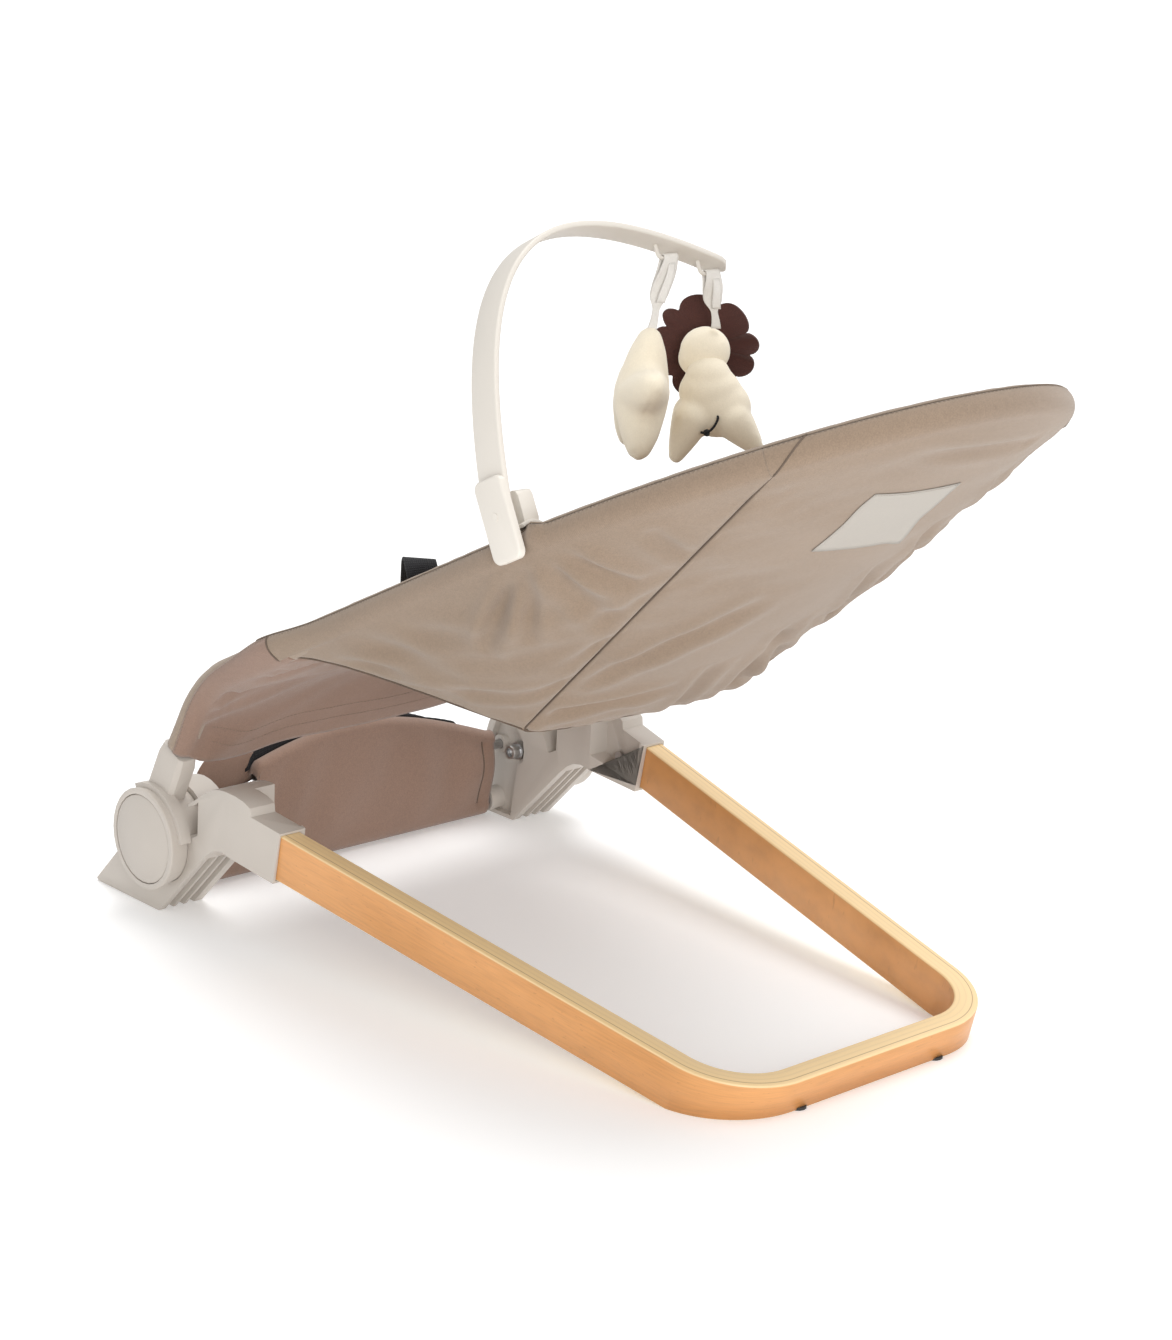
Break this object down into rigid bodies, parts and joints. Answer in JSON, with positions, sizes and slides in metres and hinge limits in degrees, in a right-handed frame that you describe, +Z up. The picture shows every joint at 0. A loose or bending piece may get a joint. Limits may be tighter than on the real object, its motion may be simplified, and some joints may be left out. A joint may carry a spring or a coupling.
{
  "type": "baby bouncer seat",
  "caption": "Reclining bouncer seat: sewn sling on a tubular frame, recline hubs with push buttons, bentwood stand, waist harness and a tilting toy bar with two soft toys.",
  "frame": {"origin": "on the floor, under the middle of the bounding box", "axes": "+X from the baby's feet towards its head, +Y towards the right side of the baby, +Z up"},
  "size_m": [0.7887, 0.4752, 0.6181],
  "materials": {
    "plastic": "fine moulded texture, warm light grey",
    "bar_plastic": "satin ivory",
    "beech": "satin lacquer over beech veneer",
    "fabric": "plain woven, taupe",
    "webbing": "black woven webbing",
    "rubber": "matte",
    "steel": "zinc plated",
    "label": "blank satin care label",
    "plush": "cream cotton jersey",
    "felt": "dark brown felt",
    "ribbon": "white twill tape",
    "nylon": "black moulded nylon"
  },
  "bodies": {
    "stand": {"base_housing_left": "plastic", "base_housing_right": "plastic", "foot_pad_left": "rubber", "foot_pad_right": "rubber", "crossbar_pad_left": "rubber", "crossbar_pad_right": "rubber", "wood_frame": "beech", "frame_screw_left": "steel", "frame_screw_right": "steel", "lower_cross_tube": "steel", "upper_cross_bar": "steel", "front_panel": "fabric", "front_panel_strip": "webbing", "lock_spline_left": "steel", "lock_spline_right": "steel", "axle_bolt_left": "steel", "axle_bolt_right": "steel", "axle_nut_left": "steel", "axle_nut_right": "steel"},
    "seat": {"hub_arm_left": "plastic", "hub_arm_right": "plastic", "arm_screw_left": "steel", "arm_screw_right": "steel", "seat_tube": "steel", "sling_sleeve": "fabric", "sling_side_left": "fabric", "sling_side_right": "fabric", "sling_back_panel": "fabric", "sling_seat_panel": "fabric", "sling_calf_panel": "fabric", "care_label": "label", "waist_strap_left": "webbing", "waist_strap_right": "webbing", "crotch_strap": "webbing", "buckle_body": "nylon", "bar_clamp_cap": "bar_plastic", "bar_clamp_jaw": "bar_plastic", "toy_bar_pin": "steel"},
    "recline_button_left_body": {"recline_button_left": "plastic", "lock_gear_left": "nylon", "button_spring_left": "steel"},
    "recline_button_right_body": {"recline_button_right": "plastic", "lock_gear_right": "nylon", "button_spring_right": "steel"},
    "toy_bar_body": {"toy_bar": "bar_plastic"},
    "star_toy": {"star_ribbon": "ribbon", "star_plush": "plush"},
    "lion_toy": {"lion_ribbon": "ribbon", "lion_head": "plush", "lion_mane": "felt", "lion_body": "plush", "lion_tail": "webbing"},
    "buckle_release": {"buckle_button": "nylon"}
  },
  "joints": [
    {"name": "seat_recline", "type": "hinge", "parent": "stand", "child": "seat", "pos_m": [-0.2988, 0, 0.0685], "axis": [0, 1, 0], "range_deg": [-14, 16]},
    {"name": "recline_button_left_press", "type": "slide", "parent": "seat", "child": "recline_button_left_body", "axis": [0, 1, 0], "range_m": [0, 0.0038], "stiffness_N_per_m": 1500},
    {"name": "recline_button_right_press", "type": "slide", "parent": "seat", "child": "recline_button_right_body", "axis": [0, -1, 0], "range_m": [0, 0.0038], "stiffness_N_per_m": 1500},
    {"name": "toy_bar_tilt", "type": "hinge", "parent": "seat", "child": "toy_bar_body", "pos_m": [0.13414, -0.2145, 0.42994], "axis": [0, 1, 0], "range_deg": [-45, 40]},
    {"name": "star_swing", "type": "hinge", "parent": "toy_bar_body", "child": "star_toy", "pos_m": [0.05608, -0.00009, 0.58548], "axis": [0, 1, 0], "range_deg": [-60, 60]},
    {"name": "lion_swing", "type": "hinge", "parent": "toy_bar_body", "child": "lion_toy", "pos_m": [0.06312, 0.03819, 0.57145], "axis": [0, 1, 0], "range_deg": [-60, 60]},
    {"name": "buckle_press", "type": "slide", "parent": "seat", "child": "buckle_release", "axis": [0, 0, -1], "range_m": [0, 0.003], "stiffness_N_per_m": 1000}
  ]
}
